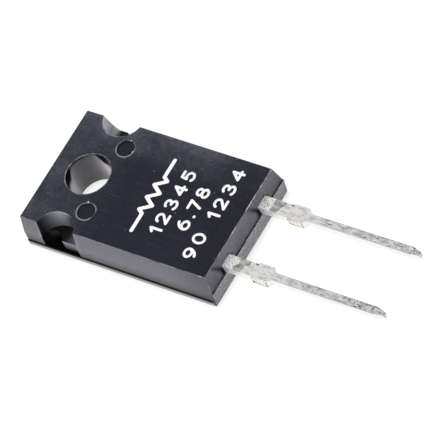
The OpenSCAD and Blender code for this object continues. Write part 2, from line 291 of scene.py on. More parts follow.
burr = add("MapRange", {"Value": burr, "From Min": 0.00014, "From Max": 0.0002, "To Min": 1.0, "To Max": 0.0})
near_lead = add("Math", {0: y, 1: 0.0}, operation="LESS_THAN")
burr = add("Math", {0: burr, 1: near_lead}, operation="MULTIPLY")
stub_tone = add("Mix", {0: burr, 6: stub_tone, 7: "2e2220"}, data_type="RGBA")
colour = add("Mix", {0: sheared, 6: cleaned, 7: stub_tone}, data_type="RGBA")
smooth_flank = add("Math", {0: 1.0, 1: on_flank}, operation="SUBTRACT")
bumps = add("Mix", {0: frozen, 2: scuff, 3: curds})
relief = add("MapRange", {"Value": frozen, "To Min": 0.15, "To Max": 0.45})
relief = add("Math", {0: relief, 1: smooth_flank}, operation="MULTIPLY")
ripple = add("Bump", {"Height": bumps, "Strength": relief, "Distance": 0.00003})
gloss = add("MapRange", {"Value": clouds, "To Min": 0.3, "To Max": 0.5})
frost = add("MapRange", {"Value": from_case, "From Min": 0.0004, "From Max": 0.0028, "To Min": 0.15,
    "To Max": 0.0})
frost = add("Math", {0: frost, 1: on_flank}, operation="MULTIPLY")
curdled = add("Math", {0: frozen, 1: 0.35}, operation="MULTIPLY")
frost = add("Math", {0: frost, 1: curdled}, operation="MAXIMUM")
bare_metal = add("Math", {0: 1.0, 1: frost}, operation="SUBTRACT")
skin = add("BsdfPrincipled", {"Base Color": colour, "Metallic": bare_metal, "Roughness": gloss,
    "Normal": ripple})
add("OutputMaterial", {"Surface": skin})
for side in ("left", "right"):
    lead = softened_copy("lead_" + side + "_tinned", "lead_" + side, edge_mm=0.03)
    lead.data.materials.append(tin)
    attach(lead, "root")
    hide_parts("lead_" + side)

# Case: black filled epoxy, transfer moulded round the finished wafer and leads in a spark-eroded mould. Its
# marked face is kept a hair low here, so that the ink stands on it without standing out of the part.
ink_mm = 0.015
ejector_x, ejector_y, ejector_radius = 0.00155, 0.00279, 0.00071
hole_radius, notch_reach = 0.0017, 0.0016
notch_radius, notch_centre_y = 0.00162, 0.00508
parting_z, wall_top_z = 0.00159, 0.0031
by_lead_end_x, lead_end_x = 0.0095, 0.0125
face_z = cad_high.z
epoxy, add = blank_material("black_moulded_epoxy")
# Filled epoxy is a charcoal with a blue cast, IOR 1.5 to 1.6. The marked face has an eroded grain 0.1 mm
# across, roughness 0.5, that dulls head-on gloss and takes a film of dust along its far side and on the
# flange, patchy every 2.4 mm.
found = add("TexCoord")
place = found.outputs["Object"]
x, y, z = add("SeparateXYZ", {"Vector": place}).outputs
facing = add("SeparateXYZ", {"Vector": found.outputs["Normal"]})
level_part = add("Math", {0: facing.outputs["Z"]}, operation="ABSOLUTE")
wall = add("MapRange", {"Value": level_part, "From Min": 0.25, "From Max": 0.85, "To Min": 1.0, "To Max": 0.0})
grain = add("TexNoise", {"Vector": place, "Scale": 10000.0, "Detail": 3.0, "Roughness": 0.7})
smudge = add("TexNoise", {"Vector": place, "Scale": 420.0, "Detail": 4.0, "Roughness": 0.6, "Distortion": 0.4})
on_flange = add("MapRange", {"Value": x, "From Min": 0.0032, "From Max": -0.0015, "To Max": 0.46})
far_side = add("MapRange", {"Value": y, "From Min": 0.0018, "From Max": 0.0045, "To Max": 0.95})
fading = add("MapRange", {"Value": x, "From Min": 0.0065, "From Max": 0.0115, "To Min": 1.0, "To Max": 0.2})
far_side = add("Math", {0: far_side, 1: fading}, operation="MULTIPLY")
settled = add("Math", {0: on_flange, 1: far_side}, operation="MAXIMUM")
patchy = add("MapRange", {"Value": smudge, "From Min": 0.3, "From Max": 0.7, "To Min": 0.4, "To Max": 1.5})
dust = add("Math", {0: settled, 1: patchy}, operation="MULTIPLY")
dusty_tone = add("Mix", {0: dust, 6: "121423", 7: "434751"}, data_type="RGBA")
mottle = add("TexNoise", {"Vector": place, "Scale": 2300.0, "Detail": 4.0, "Roughness": 0.7})
mottle = add("MapRange", {"Value": mottle, "From Min": 0.3, "From Max": 0.7, "To Min": 0.72, "To Max": 1.3})
by_leads = add("MapRange", {"Value": x, "From Min": by_lead_end_x, "From Max": lead_end_x, "To Min": 1.0,
    "To Max": 0.7})
mottle = add("Math", {0: mottle, 1: by_leads}, operation="MULTIPLY")
dusty_tone = add("Mix", {0: 1.0, 6: dusty_tone, 7: mottle}, data_type="RGBA", blend_type="MULTIPLY")
# Trays and tubes leave hair scratches on the marked face, and grit leaves small pale flecks. Along the middle
# of each notch's rim the marked face has a thin pale band, a painted highlight.
hairs_at = add("Mapping", {"Vector": place, "Rotation": (0, 0, math.radians(-20)), "Scale": (450, 9000, 450)})
hairs = add("TexNoise", {"Vector": hairs_at, "Scale": 1.0})
scratch = add("MapRange", {"Value": hairs, "From Min": 0.6, "From Max": 0.72, "To Max": 0.038})
grit = add("TexVoronoi", {"Vector": place, "Scale": 1500.0})
fleck = add("MapRange", {"Value": grit, "From Min": 0.04, "From Max": 0.08, "To Min": 0.75, "To Max": 0.0})
chosen = add("SeparateXYZ", {"Vector": grit.outputs["Color"]})
chosen = add("Math", {0: chosen.outputs["X"], 1: 0.72}, operation="GREATER_THAN")
fleck = add("Math", {0: fleck, 1: chosen}, operation="MULTIPLY")
scored = add("Math", {0: scratch, 1: fleck}, operation="MAXIMUM")
off_axis = add("Math", {0: y}, operation="ABSOLUTE")
from_core = add("CombineXYZ", {"X": x, "Y": off_axis})
from_core = add("VectorMath", {0: from_core, 1: (0, notch_centre_y, 0)}, operation="DISTANCE")
notch_rim_highlight = add("MapRange", {"Value": from_core, "From Min": notch_radius + 0.00002,
    "From Max": notch_radius + 0.00007, "To Min": 1.0, "To Max": 0.0})
from_middle = add("Math", {0: x}, operation="ABSOLUTE")
rim_highlight_middle = add("MapRange", {"Value": from_middle, "From Min": 0.0006, "From Max": 0.0011, "To Min": 1.0,
    "To Max": 0.0})
notch_rim_highlight = add("Math", {0: notch_rim_highlight, 1: rim_highlight_middle}, operation="MULTIPLY")
scored = add("Math", {0: scored, 1: notch_rim_highlight}, operation="MAXIMUM")
dusty_tone = add("Mix", {0: scored, 6: dusty_tone, 7: "8a8a94"}, data_type="RGBA")
# The pins that pushed the part out of its mould were polished, so their marks are darker and smoother.
mark_at = add("CombineXYZ", {"X": x, "Y": off_axis})
mark_far = add("VectorMath", {0: mark_at, 1: (ejector_x, ejector_y, 0)}, operation="DISTANCE")
on_mark = add("Math", {0: mark_far, 1: ejector_radius}, operation="LESS_THAN")
flat_tone = add("Mix", {0: on_mark, 6: dusty_tone, 7: "12151f"}, data_type="RGBA")
# The long sides carry painted light: they are greyer than the marked face, lighter in line with the notches
# and darker along the flange. Painted shade darkens them below the parting line towards the plate, and they
# are darker towards the lead end.
from_flange = add("MapRange", {"Value": x, "From Min": -0.003, "From Max": 0.013})
side_lit_tone = add("Mix", {0: from_flange, 6: "575561", 7: "4d4b57"}, data_type="RGBA")
low_wall_shade = add("MapRange", {"Value": z, "From Min": 0.0006, "From Max": 0.0017, "To Min": 0.28})
by_corner = add("MapRange", {"Value": x, "From Min": by_lead_end_x, "From Max": lead_end_x, "To Min": 1.0,
    "To Max": 0.65})
low_wall_shade = add("Math", {0: low_wall_shade, 1: by_corner}, operation="MULTIPLY")
by_notch = add("MapRange", {"Value": from_middle, "From Min": notch_reach, "From Max": 0.0019, "To Min": 1.35})
by_tab = add("MapRange", {"Value": x, "From Min": -0.0019, "From Max": -notch_reach, "To Min": 0.78})
by_notch = add("Math", {0: by_notch, 1: by_tab}, operation="MULTIPLY")
wall_light_factor = add("Math", {0: low_wall_shade, 1: by_notch}, operation="MULTIPLY")
side_lit_tone = add("Mix", {0: 1.0, 6: side_lit_tone, 7: wall_light_factor}, data_type="RGBA", blend_type="MULTIPLY")
# The lead end carries painted light: its slope is lighter on its near half and towards its top. Its near end
# is a little darker, and it is streaked by the mould's draw. Its lower half shows the fine slanting lines and
# pits of a ground mould, and is darker towards the bottom.
from_near = add("MapRange", {"Value": y, "From Min": -0.0048, "From Max": 0.0035})
slope_light_tone = add("Mix", {0: from_near, 6: "52515d", 7: "454450"}, data_type="RGBA")
drawn_at = add("Mapping", {"Vector": place, "Scale": (400, 3500, 700)})
drawn = add("TexNoise", {"Vector": drawn_at, "Scale": 1.0, "Detail": 3.0})
streaky = add("MapRange", {"Value": drawn, "From Min": 0.3, "From Max": 0.7, "To Min": 0.8, "To Max": 1.2})
lit_up_slope = add("MapRange", {"Value": z, "From Min": 0.0019, "From Max": wall_top_z, "To Min": 0.72,
    "To Max": 1.45})
near_end = add("MapRange", {"Value": y, "From Min": -0.0032, "From Max": -0.0028, "To Min": 0.8})
streaky = add("Math", {0: streaky, 1: lit_up_slope}, operation="MULTIPLY")
streaky = add("Math", {0: streaky, 1: near_end}, operation="MULTIPLY")
slope_light_tone = add("Mix", {0: 1.0, 6: slope_light_tone, 7: streaky}, data_type="RGBA", blend_type="MULTIPLY")
ground_at = add("Mapping", {"Vector": place, "Rotation": (math.radians(35), 0, 0),
    "Scale": (4000, 4600, 12000)})
ground = add("TexNoise", {"Vector": ground_at, "Scale": 1.0, "Detail": 5.0, "Roughness": 0.75})
band_tone = add("ValToRGB", {"Fac": ground}, stops=[(0.45, "0c0b0f"), (0.55, "98939d")])
up_band = add("MapRange", {"Value": z, "From Min": 0.0007, "From Max": 0.0015, "To Min": 0.62, "To Max": 1.1})
band_tone = add("Mix", {0: 1.0, 6: band_tone, 7: up_band}, data_type="RGBA", blend_type="MULTIPLY")
lower_half = add("MapRange", {"Value": z, "From Min": parting_z, "From Max": parting_z + 0.00004,
    "To Min": 1.0, "To Max": 0.0})
ground_mould = add("MapRange", {"Value": x, "From Min": lead_end_x - 0.0005, "From Max": lead_end_x,
    "To Min": 0.3})
ground_part = add("Math", {0: lower_half, 1: ground_mould}, operation="MULTIPLY")
end_tone = add("Mix", {0: ground_part, 6: slope_light_tone, 7: band_tone}, data_type="RGBA")
# On the walls, the lead end's painted light goes on the end faces and the long sides' goes on the rest.
endways = add("Math", {0: facing.outputs["X"]}, operation="ABSOLUTE")
on_end = add("MapRange", {"Value": endways, "From Min": 0.6, "From Max": 0.8})
lit_wall_tone = add("Mix", {0: on_end, 6: side_lit_tone, 7: end_tone}, data_type="RGBA")
# The bore was cored by a polished pin: black and glossy, roughness 0.05. The notches are dull and black, with
# painted light on their walls: a pale patch high in the middle of the near notch, and on the far notch a paler
# one that reaches down to the parting line on its flange side.
in_line = add("MapRange", {"Value": from_middle, "From Min": notch_reach + 0.0001,
    "From Max": notch_reach + 0.00014, "To Min": 1.0, "To Max": 0.0})
sideways = add("Math", {0: facing.outputs["Y"]}, operation="ABSOLUTE")
on_side = add("MapRange", {"Value": off_axis, "From Min": 0.00474, "From Max": 0.00478, "To Min": 1.0,
    "To Max": 0.0})
turned_in = add("Math", {0: sideways, 1: 0.93}, operation="LESS_THAN")
turned_in = add("Math", {0: turned_in, 1: on_side}, operation="MAXIMUM")
cored = add("Math", {0: in_line, 1: turned_in}, operation="MULTIPLY")
cored = add("Math", {0: cored, 1: wall}, operation="MULTIPLY")
bore = add("MapRange", {"Value": off_axis, "From Min": 0.0019, "From Max": 0.0021, "To Min": 1.0,
    "To Max": 0.0})
bore = add("Math", {0: bore, 1: cored}, operation="MULTIPLY")
far_notch = add("Math", {0: y, 1: 0.0}, operation="GREATER_THAN")
notch_lit_depth = add("MapRange", {"Value": far_notch, "To Min": 0.0007, "To Max": -0.004})
near_top = add("MapRange", {"Value": z, "From Min": notch_lit_depth, "From Max": wall_top_z})
notch_lit_from = add("Math", {0: far_notch, 1: 0.0011, 2: x}, operation="MULTIPLY_ADD")
notch_lit_from = add("Math", {0: notch_lit_from, 1: 0.00034}, operation="ADD")
notch_lit_from = add("Math", {0: notch_lit_from}, operation="ABSOLUTE")
mid_notch = add("MapRange", {"Value": notch_lit_from, "From Max": 0.0013, "To Min": 1.0, "To Max": 0.0},
    interpolation_type="SMOOTHSTEP")
notch_lit = add("Math", {0: near_top, 1: mid_notch}, operation="MULTIPLY")
notch_lit = add("Math", {0: notch_lit, 1: lower_half}, operation="SUBTRACT", use_clamp=True)
notch_lit_tone = add("Mix", {0: far_notch, 6: "7b7b86", 7: "b5b3bb"}, data_type="RGBA")
notch_tone = add("Mix", {0: notch_lit, 6: "0b0b0e", 7: notch_lit_tone}, data_type="RGBA")
# Painted reflection on the bore: a grey sheen, lightest on two opposite sides and low down, that fades
# towards the top, where the bore stays black.
along_sheen_axis = add("VectorMath", {0: place, 1: (0.616, 0.788, 0)}, operation="DOT_PRODUCT")
along_sheen_axis = add("Math", {0: along_sheen_axis, 1: 0.00002}, operation="SUBTRACT")
along_sheen_axis = add("Math", {0: along_sheen_axis}, operation="ABSOLUTE")
past_sheen_start = add("MapRange", {"Value": along_sheen_axis, "From Min": 0.00096, "From Max": 0.0013, "To Max": 0.00102})
sheen_line = add("Math", {0: past_sheen_start, 1: z}, operation="ADD")
bore_sheen = add("MapRange", {"Value": sheen_line, "From Min": 0.00335, "From Max": 0.00272},
    interpolation_type="SMOOTHSTEP")
along_sheen_axis = add("MapRange", {"Value": along_sheen_axis, "From Max": 0.0017})
bore_sheen_tone = add("ValToRGB", {"Fac": along_sheen_axis}, stops=[(0.1, "3d393f"), (0.4, "524d54"), (0.62, "8e8790"),
    (0.76, "d8d0db")])
sheen_fade_up = add("MapRange", {"Value": z, "From Min": 0.0013, "From Max": wall_top_z, "To Min": 1.0,
    "To Max": 0.45})
bore_sheen_tone = add("Mix", {0: 1.0, 6: bore_sheen_tone, 7: sheen_fade_up}, data_type="RGBA", blend_type="MULTIPLY")
bore_tone = add("Mix", {0: bore_sheen, 6: "040405", 7: bore_sheen_tone}, data_type="RGBA")
cored_tone = add("Mix", {0: bore, 6: notch_tone, 7: bore_tone}, data_type="RGBA")
wall_tone = add("Mix", {0: cored, 6: lit_wall_tone, 7: cored_tone}, data_type="RGBA")
# Flat places below the parting line: a step along the lead end, and the notches' ledges. Painted shade turns
# the ledges black towards and in each notch's pocket, and painted light marks the far ledge by the flange.
past_end = add("Math", {0: x, 1: lead_end_x}, operation="GREATER_THAN")
clear_of_pocket_shade = add("MapRange", {"Value": x, "From Min": 0.0002, "From Max": 0.0012},
    interpolation_type="SMOOTHSTEP")
ledge_light_and_shade = add("Mix", {0: clear_of_pocket_shade, 6: "020203", 7: "54555f"}, data_type="RGBA")
lit_by_flange = add("MapRange", {"Value": x, "From Min": -0.0005, "From Max": -0.0011},
    interpolation_type="SMOOTHSTEP")
lit_by_flange = add("Math", {0: lit_by_flange, 1: far_notch}, operation="MULTIPLY")
ledge_light_and_shade = add("Mix", {0: lit_by_flange, 6: ledge_light_and_shade, 7: "a5a4ac"}, data_type="RGBA")
low_tone = add("Mix", {0: past_end, 6: ledge_light_and_shade, 7: "1d1c22"}, data_type="RGBA")
level_tone = add("Mix", {0: lower_half, 6: flat_tone, 7: low_tone}, data_type="RGBA")
body_tone = add("Mix", {0: wall, 6: level_tone, 7: wall_tone}, data_type="RGBA")
# Where the moulding meets the plate there is a dark line.
joint = add("MapRange", {"Value": z, "From Min": 0.00058, "From Max": 0.0007, "To Min": 1.0, "To Max": 0.0})
clear_of = add("Math", {0: past_end, 1: bore}, operation="MAXIMUM")
joint = add("Math", {0: joint, 1: clear_of}, operation="SUBTRACT", use_clamp=True)
jointed = add("Mix", {0: joint, 6: body_tone, 7: "060607"}, data_type="RGBA")
# Painted shadow of each lead on the lead end: a dark band runs up the slope on one side of each lead, and a
# thin dark line stands at the other.
which_lead = add("Math", {0: y}, operation="SIGN")
off_lead = add("Math", {0: which_lead, 1: -lead_line, 2: y}, operation="MULTIPLY_ADD")
exit_at = add("CombineXYZ", {"Y": off_lead, "Z": z})
above_lead = add("Math", {0: z, 1: 0.0021}, operation="SUBTRACT")
above_lead = add("Math", {0: above_lead, 1: 0.0}, operation="MAXIMUM")
lead_shadow = add("Math", {0: above_lead, 1: 0.65, 2: off_lead}, operation="MULTIPLY_ADD")
lead_shadow = add("Math", {0: lead_shadow, 1: 0.00068}, operation="ADD")
lead_shadow = add("Math", {0: lead_shadow}, operation="ABSOLUTE")
lead_shadow = add("MapRange", {"Value": lead_shadow, "From Min": 0.00001, "From Max": 0.00038, "To Min": 1.0, "To Max": 0.0},
    interpolation_type="SMOOTHSTEP")
lead_shadow_fade = add("MapRange", {"Value": z, "From Min": 0.002, "From Max": 0.0032, "To Min": 0.98, "To Max": 0.5})
lead_shadow = add("Math", {0: lead_shadow, 1: lead_shadow_fade}, operation="MULTIPLY")
lead_shadow_line = add("VectorMath", {0: exit_at, 1: (0, 0.707, 0.707)}, operation="DOT_PRODUCT")
lead_shadow_line = add("Math", {0: lead_shadow_line, 1: 0.00198}, operation="SUBTRACT")
lead_shadow_line = add("Math", {0: lead_shadow_line}, operation="ABSOLUTE")
lead_shadow_line = add("MapRange", {"Value": lead_shadow_line, "From Min": 0.00004, "From Max": 0.0001, "To Min": 0.7,
    "To Max": 0.0})
lead_shadow_line_end = add("Math", {0: off_lead, 1: 0.00056, 2: 0.00022}, operation="COMPARE")
lead_shadow_line = add("Math", {0: lead_shadow_line, 1: lead_shadow_line_end}, operation="MULTIPLY")
lead_shade = add("Math", {0: lead_shadow, 1: lead_shadow_line}, operation="MAXIMUM")
lead_shade = add("Math", {0: lead_shade, 1: lower_half}, operation="SUBTRACT", use_clamp=True)
lead_shade = add("Math", {0: lead_shade, 1: past_end}, operation="MULTIPLY")
lead_shade = add("Math", {0: 1.0, 1: lead_shade}, operation="SUBTRACT")
speck = add("MapRange", {"Value": grain, "From Min": 0.34, "From Max": 0.66, "To Min": 0.6, "To Max": 1.4})
speck = add("Mix", {0: cored, 2: speck, 3: 1.0})
speck = add("Math", {0: speck, 1: lead_shade}, operation="MULTIPLY")
colour = add("Mix", {0: 1.0, 6: jointed, 7: speck}, data_type="RGBA", blend_type="MULTIPLY")
matt = add("MapRange", {"Value": wall, "To Min": 0.5, "To Max": 0.32})
gloss = add("Math", {0: bore, 1: -0.27, 2: matt}, operation="MULTIPLY_ADD")
shine = add("MapRange", {"Value": wall, "To Min": 0.2, "To Max": 0.5})
in_notch = add("Math", {0: cored, 1: bore}, operation="SUBTRACT", use_clamp=True)
dull = add("Math", {0: in_notch, 1: joint}, operation="MAXIMUM")
shine = add("Math", {0: dull, 1: -0.42, 2: shine}, operation="MULTIPLY_ADD", use_clamp=True)
# The long sides' gloss follows their painted shade and is weaker low down.
on_long_side = add("Math", {0: wall, 1: on_end}, operation="SUBTRACT", use_clamp=True)
on_long_side = add("Math", {0: on_long_side, 1: cored}, operation="SUBTRACT", use_clamp=True)
side_shine = add("Mix", {0: on_long_side, 2: 1.0, 3: low_wall_shade})
bore_shine = add("MapRange", {"Value": past_sheen_start, "From Max": 0.0006, "To Min": 0.5, "To Max": 0.03})
bore_shine = add("Math", {0: bore_shine, 1: bore_sheen}, operation="MAXIMUM")
bore_shine = add("Mix", {0: bore, 2: 1.0, 3: bore_shine})
end_shine = add("Mix", {0: on_end, 2: 1.0, 3: lead_shade})
near_shine = add("MapRange", {"Value": near_end, "From Min": 0.8, "To Min": 0.85})
near_shine = add("Mix", {0: on_end, 2: 1.0, 3: near_shine})
for share in (side_shine, bore_shine, end_shine, near_shine):
    shine = add("Math", {0: shine, 1: share}, operation="MULTIPLY")
grip = add("MapRange", {"Value": cored, "To Min": 0.3, "To Max": 0.0})
ripple = add("Bump", {"Height": grain, "Strength": grip, "Distance": 0.00001})
skin = add("BsdfPrincipled", {"Base Color": colour, "Roughness": gloss, "IOR": 1.55,
    "Specular IOR Level": shine, "Normal": ripple})
add("OutputMaterial", {"Surface": skin})

edge_highlight_finish, add = blank_material("epoxy_edge_painted_highlight")
# The moulding's broken corners carry a painted highlight: a dry mid grey, in patches 0.6 mm across,
# roughness 0.55.
place = add("TexCoord").outputs["Object"]
chafe = add("TexNoise", {"Vector": place, "Scale": 1600.0, "Detail": 3.0, "Roughness": 0.6})
tone = add("ValToRGB", {"Fac": chafe}, stops=[(0.36, "36363c"), (0.62, "75737b")])
ripple = add("Bump", {"Height": chafe, "Strength": 0.4, "Distance": 0.00002})
x, y, z = add("SeparateXYZ", {"Vector": place}).outputs
# Along the marked face's lead-end edge the painted highlight is paler still, in patches.
end_edge_highlight = add("MapRange", {"Value": x, "From Min": lead_end_x - 0.0003, "From Max": lead_end_x})
on_face = add("Math", {0: z, 1: face_z - 0.0001}, operation="GREATER_THAN")
end_edge_highlight = add("Math", {0: end_edge_highlight, 1: on_face}, operation="MULTIPLY")
highlight_patches = add("MapRange", {"Value": chafe, "From Min": 0.5, "From Max": 0.62, "To Min": 0.1})
end_edge_highlight = add("Math", {0: end_edge_highlight, 1: highlight_patches}, operation="MULTIPLY")
tone = add("Mix", {0: end_edge_highlight, 6: tone, 7: "b8b4c0"}, data_type="RGBA")
# On the rims of the notches the painted highlight is brightest at their middle and dim towards their ends.
off_axis = add("Math", {0: y}, operation="ABSOLUTE")
by_core = add("CombineXYZ", {"X": x, "Y": off_axis})
by_core = add("VectorMath", {0: by_core, 1: (0, notch_centre_y, 0)}, operation="DISTANCE")
by_core = add("Math", {0: by_core, 1: notch_radius + 0.0001}, operation="LESS_THAN")
from_middle = add("Math", {0: x, 1: 0.0003}, operation="ADD")
from_middle = add("Math", {0: from_middle}, operation="ABSOLUTE")
rim_highlight = add("MapRange", {"Value": from_middle, "From Min": 0.0005, "From Max": 0.0011, "To Min": 2.4,
    "To Max": 0.25})
rim_highlight = add("Mix", {0: by_core, 2: 1.0, 3: rim_highlight})
tone = add("Mix", {0: 1.0, 6: tone, 7: rim_highlight}, data_type="RGBA", blend_type="MULTIPLY")
skin = add("BsdfPrincipled", {"Base Color": tone, "Roughness": 0.55, "IOR": 1.55, "Normal": ripple})
add("OutputMaterial", {"Surface": skin})

broken_from = face_z - 0.00005
case = softened_copy("case_moulding", "moulded_case", edge_mm=0.045, edge_finish=1, full_above=broken_from)
for corner in case.data.vertices:
    if corner.co.z > broken_from:
        corner.co.z -= (corner.co.z - broken_from) / (face_z - broken_from) * ink_mm / 1000
case.data.materials.append(epoxy)
case.data.materials.append(edge_highlight_finish)
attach(case, "root")
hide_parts("moulded_case")


# Witness rims: where the ejector pins and the hole's core pin met the mould, epoxy crept into the gap and
# left a thin raised ring, pale, broken here and there, and fullest on one side.
def named_sizes(tree, sizes):
    """Gives a geometry tree an input for each named size, and returns the inputs' identifiers by name."""
    identifiers = {}
    for name, value in sizes.items():
        kind = "NodeSocketVector" if isinstance(value, tuple) else "NodeSocketFloat"
        socket = tree.interface.new_socket(name, in_out="INPUT", socket_type=kind)
        socket.default_value = value
        identifiers[name] = socket.identifier
    return identifiers


def plain_mesh(piece, name):
    """The evaluated shape of a piece as a plain mesh object of that name. The piece itself goes."""
    mesh = bpy.data.meshes.new_from_object(piece.evaluated_get(bpy.context.evaluated_depsgraph_get()))
    bpy.data.objects.remove(piece)
    mesh.name = name
    return in_scene(name, mesh)


pale_flash, add = blank_material("pale_epoxy_flash")
# Thin flash is dry, pale in patches and dark where it broke off, every 0.9 mm or so: roughness 0.6.
place = add("TexCoord").outputs["Object"]
broken = add("TexNoise", {"Vector": place, "Scale": 1100.0, "Detail": 3.0, "Roughness": 0.6})
tone = add("ValToRGB", {"Fac": broken}, stops=[(0.4, "26272e"), (0.62, "8c8b95")])
ripple = add("Bump", {"Height": broken, "Strength": 0.4, "Distance": 0.00002})
skin = add("BsdfPrincipled", {"Base Color": tone, "Roughness": 0.6, "IOR": 1.55, "Normal": ripple})
add("OutputMaterial", {"Surface": skin})

rim_tree = bpy.data.node_groups.new("witness_rim", "GeometryNodeTree")
rim_tree.interface.new_socket("Rim", in_out="OUTPUT", socket_type="NodeSocketGeometry")
rim_sizes = named_sizes(rim_tree, {
    "Radius": 0.001, "Width": 0.00008, "Height": 0.00002, "Waver": 0.00003, "Centre": (0, 0, 0),
    "Heavy side": (1, 0, 0), "Seed": 1.0})
add = partial(node, rim_tree)
sizes = add("NodeGroupInput").outputs
path = add("GeometryNodeCurvePrimitiveCircle", {"Resolution": 120, "Radius": sizes["Radius"]})
half = add("Math", {0: sizes["Width"], 1: 0.5}, operation="MULTIPLY")
bead = add("GeometryNodeCurvePrimitiveCircle", {"Resolution": 8, "Radius": half})
where = add("GeometryNodeInputPosition")
outward = add("VectorMath", {0: where}, operation="NORMALIZE")
drift = add("TexNoise", {"Vector": where, "W": sizes["Seed"], "Scale": 1800.0}, noise_dimensions="4D")
centred = add("Math", {0: drift, 1: 0.5}, operation="SUBTRACT")
towards = add("VectorMath", {0: outward, 1: sizes["Heavy side"]}, operation="DOT_PRODUCT")
fullness = add("Math", {0: towards, 1: 0.4, 2: 0.55}, operation="MULTIPLY_ADD")
fullness = add("Math", {0: centred, 1: 1.6, 2: fullness}, operation="MULTIPLY_ADD")
fullness = add("Math", {0: fullness, 1: 0.15}, operation="MAXIMUM")
swelled = add("GeometryNodeSetCurveRadius", {"Curve": path, "Radius": fullness})
ring = add("GeometryNodeCurveToMesh", {"Curve": swelled, "Profile Curve": bead})
amount = add("Math", {0: centred, 1: sizes["Waver"]}, operation="MULTIPLY")
shift = add("VectorMath", {0: outward, "Scale": amount}, operation="SCALE")
wavy = add("GeometryNodeSetPosition", {"Geometry": ring, "Offset": shift})
flatten = add("Math", {0: sizes["Height"], 1: half}, operation="DIVIDE")
flat = add("CombineXYZ", {"X": 1.0, "Y": 1.0, "Z": flatten})
placed = add("GeometryNodeTransform", {"Geometry": wavy, "Translation": sizes["Centre"], "Scale": flat})
real = add("GeometryNodeRealizeInstances", {"Geometry": placed})
finished = add("GeometryNodeSetMaterial", {"Geometry": real, "Material": pale_flash})
add("NodeGroupOutput", {"Rim": finished})

skin_z = face_z - ink_mm / 1000
rims = {
    "rim_of_mounting_hole": (hole_radius + 0.00003, 0.00007, (0, 0, skin_z), (-0.9, 0.4, 0), 3.0),
    "rim_of_ejector_mark_left": (
        ejector_radius + 0.00002, 0.0001, (ejector_x, -ejector_y, skin_z), (-0.8, -0.6, 0), 5.0),
    "rim_of_ejector_mark_right": (
        ejector_radius + 0.00001, 0.00009, (ejector_x, ejector_y, skin_z), (-0.3, 0.9, 0), 8.0),
}
for name, (radius, width, centre, heavy, seed) in rims.items():
    blank = in_scene(name + ".path", bpy.data.meshes.new(name + ".path"))
    grown = blank.modifiers.new("rim", "NODES")
    grown.node_group = rim_tree
    values = {"Radius": radius, "Width": width, "Height": 0.8 * ink_mm / 1000, "Waver": 0.00006,
              "Centre": centre, "Heavy side": heavy, "Seed": seed}
    for size, value in values.items():
        grown[rim_sizes[size]] = value
    rim = plain_mesh(blank, name)
    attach(rim, "root")

# Crumbs of flash: dry scraps of epoxy that broke from the edge of the flash and stayed on the rims of the
# ejector marks, on the marked face.
dry_crumb, add = blank_material("dry_epoxy_crumb")
# Torn epoxy shows its filler, drawn 0.1 mm coarse so that it shows, and is almost white: roughness 0.7.
place = add("TexCoord").outputs["Object"]
torn = add("TexNoise", {"Vector": place, "Scale": 9000.0, "Detail": 3.0})
tone = add("ValToRGB", {"Fac": torn}, stops=[(0.35, "b4b3bb"), (0.6, "f0f0f4")])
skin = add("BsdfPrincipled", {"Base Color": tone, "Roughness": 0.7, "IOR": 1.55})
add("OutputMaterial", {"Surface": skin})

# Each crumb: its place on the marked face, half its length and breadth, and its turn in degrees.
crumbs = [
    (0.0013, -0.00207, 0.00011, 0.00004, 115),
    (0.00222, 0.00268, 0.00010, 0.00005, 100),
    (0.00162, 0.0035, 0.00008, 0.00004, 20),
]
bm = bmesh.new()
for x, y, half_long, half_wide, turn in crumbs:
    settled_at = Matrix.Translation((x, y, skin_z)) @ Matrix.Rotation(math.radians(turn), 4, "Z")
    bmesh.ops.create_icosphere(bm, subdivisions=2, radius=1, matrix=settled_at @ Matrix.Diagonal(
        (half_long, half_wide, 0.9 * ink_mm / 1000, 1)))
scraps = bpy.data.meshes.new("flash_crumbs")
bm.to_mesh(scraps)
bm.free()
scraps.shade_smooth()
scraps.materials.append(dry_crumb)
scrap_piece = in_scene("flash_crumbs", scraps)
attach(scrap_piece, "root")

# Marking: thick white ink, stamped on the marked face and baked. A plain zigzag sign and plain numbers stand
# where a maker would print, as strokes of one width with round ends.
ink, add = blank_material("baked_white_marking_ink")
# Baked ink is a matt white, IOR 1.5, roughness 0.5, with a film that is slightly uneven every 0.2 mm.
place = add("TexCoord").outputs["Object"]
film = add("TexNoise", {"Vector": place, "Scale": 5000.0, "Detail": 3.0})
tone = add("ValToRGB", {"Fac": film}, stops=[(0.3, "e9e9ec"), (0.6, "fafafc")])
ripple = add("Bump", {"Height": film, "Strength": 0.2, "Distance": 0.00001})
skin = add("BsdfPrincipled", {"Base Color": tone, "Roughness": 0.5, "IOR": 1.5, "Normal": ripple})
add("OutputMaterial", {"Surface": skin})


def bend(centre_u, centre_v, half_u, half_v, start_deg, end_deg):
    """Points along part of an oval, in parts of a numeral's height."""
    steps = max(6, int(abs(end_deg - start_deg) / 12))
    turns = [math.radians(start_deg + (end_deg - start_deg) * i / steps) for i in range(steps + 1)]
    return [(centre_u + half_u * math.cos(t), centre_v + half_v * math.sin(t)) for t in turns]


